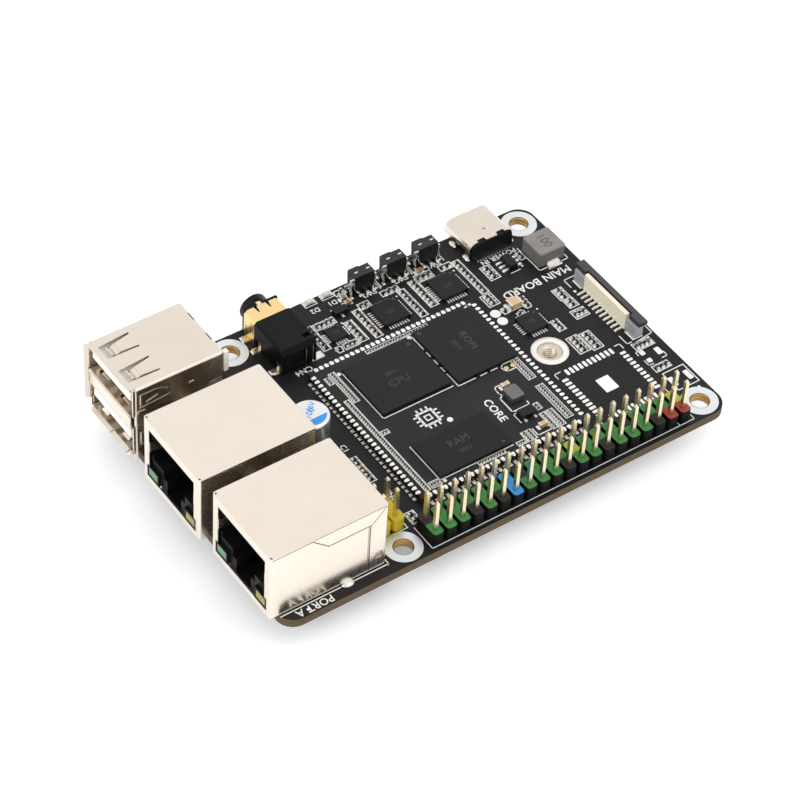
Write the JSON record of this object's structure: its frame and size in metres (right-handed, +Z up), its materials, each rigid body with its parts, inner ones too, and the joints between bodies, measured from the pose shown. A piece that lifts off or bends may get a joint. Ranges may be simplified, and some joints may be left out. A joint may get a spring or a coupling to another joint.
{
  "type": "single board computer",
  "caption": "Single board computer with a soldered core module, network, USB, USB-C and audio sockets, pin headers, a latched flat cable socket and sprung side push switches.",
  "frame": {"origin": "centre of the four-hole mounting pattern, on the underside of the main board", "axes": "+Z up out of the component side, +X towards the network and USB sockets, +Y towards the long pin header"},
  "size_m": [0.0878, 0.0576, 0.0213],
  "materials": {
    "audio_body": "moulded black",
    "audio_contacts": "gold flash",
    "audio_sleeve": "gold plated",
    "board_chip_capacitors": "fired ceramic with tinned ends",
    "board_chip_resistors": "black top with tinned ends",
    "boot_plunger": "moulded black",
    "cable_socket_contacts": "tinned",
    "cable_socket_housing": "moulded cream",
    "cable_socket_latch": "moulded dark grey",
    "cable_socket_tabs": "tinned",
    "can_capacitor": "drawn can, printed top",
    "can_capacitor_base": "moulded black",
    "can_capacitor_leads": "tinned",
    "card_socket_contacts": "gold flash",
    "card_socket_housing": "moulded black",
    "card_standoff": "tinned, threaded",
    "ceramic_capacitors": "tan ceramic",
    "chip_leads": "tinned",
    "core_board": "matt black solder mask",
    "core_chip_capacitors": "fired ceramic with tinned ends",
    "core_chip_resistors": "black top with tinned ends",
    "core_inductor": "ferrite grey",
    "core_memory": "moulded epoxy",
    "core_processor": "moulded epoxy",
    "core_solder_joints": "solder",
    "core_storage": "moulded epoxy",
    "header_housing": "moulded black with coloured tops",
    "header_pins": "thin gold flash",
    "main_board": "matt black solder mask over glass-fibre laminate, tan edges",
    "memory_card_base": "moulded black",
    "memory_card_contacts": "gold flash",
    "memory_card_shell": "nickel plated sheet",
    "modem_reset_plunger": "moulded black",
    "mounting_pads": "tinned",
    "network_contacts": "gold flash",
    "network_green_lamps": "clear green",
    "network_inserts": "moulded black",
    "network_phy_chips": "moulded epoxy",
    "network_shields": "nickel plated sheet",
    "network_yellow_lamps": "clear yellow",
    "power_header_housing": "moulded yellow",
    "power_header_pins": "thin gold flash",
    "power_inductor": "pressed iron powder",
    "power_inductor_terminals": "tinned copper",
    "reset_plunger": "moulded black",
    "sim_socket_base": "moulded black",
    "sim_socket_contacts": "gold flash",
    "sim_socket_shell": "nickel plated sheet",
    "small_chips": "moulded epoxy",
    "status_lamps": "clear resin",
    "switch_frames": "silvered",
    "switch_housings": "moulded black",
    "usb_contacts": "gold flash",
    "usb_insulator": "moulded cream",
    "usb_shell": "nickel plated sheet",
    "usbc_contacts": "gold flash",
    "usbc_insert": "moulded black",
    "usbc_shell": "nickel plated"
  },
  "bodies": {
    "board": {"audio_body": "audio_body", "audio_contacts": "audio_contacts", "audio_sleeve": "audio_sleeve", "board_chip_capacitors": "board_chip_capacitors", "board_chip_resistors": "board_chip_resistors", "cable_socket_contacts": "cable_socket_contacts", "cable_socket_housing": "cable_socket_housing", "cable_socket_tabs": "cable_socket_tabs", "can_capacitor": "can_capacitor", "can_capacitor_base": "can_capacitor_base", "can_capacitor_leads": "can_capacitor_leads", "card_socket_contacts": "card_socket_contacts", "card_socket_housing": "card_socket_housing", "card_standoff": "card_standoff", "ceramic_capacitors": "ceramic_capacitors", "chip_leads": "chip_leads", "core_board": "core_board", "core_chip_capacitors": "core_chip_capacitors", "core_chip_resistors": "core_chip_resistors", "core_inductor": "core_inductor", "core_memory": "core_memory", "core_processor": "core_processor", "core_solder_joints": "core_solder_joints", "core_storage": "core_storage", "header_housing": "header_housing", "header_pins": "header_pins", "main_board": "main_board", "memory_card_base": "memory_card_base", "memory_card_contacts": "memory_card_contacts", "memory_card_shell": "memory_card_shell", "mounting_pads": "mounting_pads", "network_contacts": "network_contacts", "network_green_lamps": "network_green_lamps", "network_inserts": "network_inserts", "network_phy_chips": "network_phy_chips", "network_shields": "network_shields", "network_yellow_lamps": "network_yellow_lamps", "power_header_housing": "power_header_housing", "power_header_pins": "power_header_pins", "power_inductor": "power_inductor", "power_inductor_terminals": "power_inductor_terminals", "sim_socket_base": "sim_socket_base", "sim_socket_contacts": "sim_socket_contacts", "sim_socket_shell": "sim_socket_shell", "small_chips": "small_chips", "status_lamps": "status_lamps", "switch_frames": "switch_frames", "switch_housings": "switch_housings", "usb_contacts": "usb_contacts", "usb_insulator": "usb_insulator", "usb_shell": "usb_shell", "usbc_contacts": "usbc_contacts", "usbc_insert": "usbc_insert", "usbc_shell": "usbc_shell"},
    "boot_button": {"boot_plunger": "boot_plunger"},
    "reset_button": {"reset_plunger": "reset_plunger"},
    "modem_reset_button": {"modem_reset_plunger": "modem_reset_plunger"},
    "cable_latch": {"cable_socket_latch": "cable_socket_latch"}
  },
  "joints": [
    {"name": "boot_button_press", "type": "slide", "parent": "board", "child": "boot_button", "axis": [0, 1, 0], "range_m": [0, 0.00025], "stiffness_N_per_m": 2000},
    {"name": "reset_button_press", "type": "slide", "parent": "board", "child": "reset_button", "axis": [0, 1, 0], "range_m": [0, 0.00025], "stiffness_N_per_m": 2000},
    {"name": "modem_reset_button_press", "type": "slide", "parent": "board", "child": "modem_reset_button", "axis": [0, 1, 0], "range_m": [0, 0.00025], "stiffness_N_per_m": 2000},
    {"name": "cable_latch_lift", "type": "slide", "parent": "board", "child": "cable_latch", "axis": [0, 0, 1], "range_m": [0, 0.0009]}
  ]
}
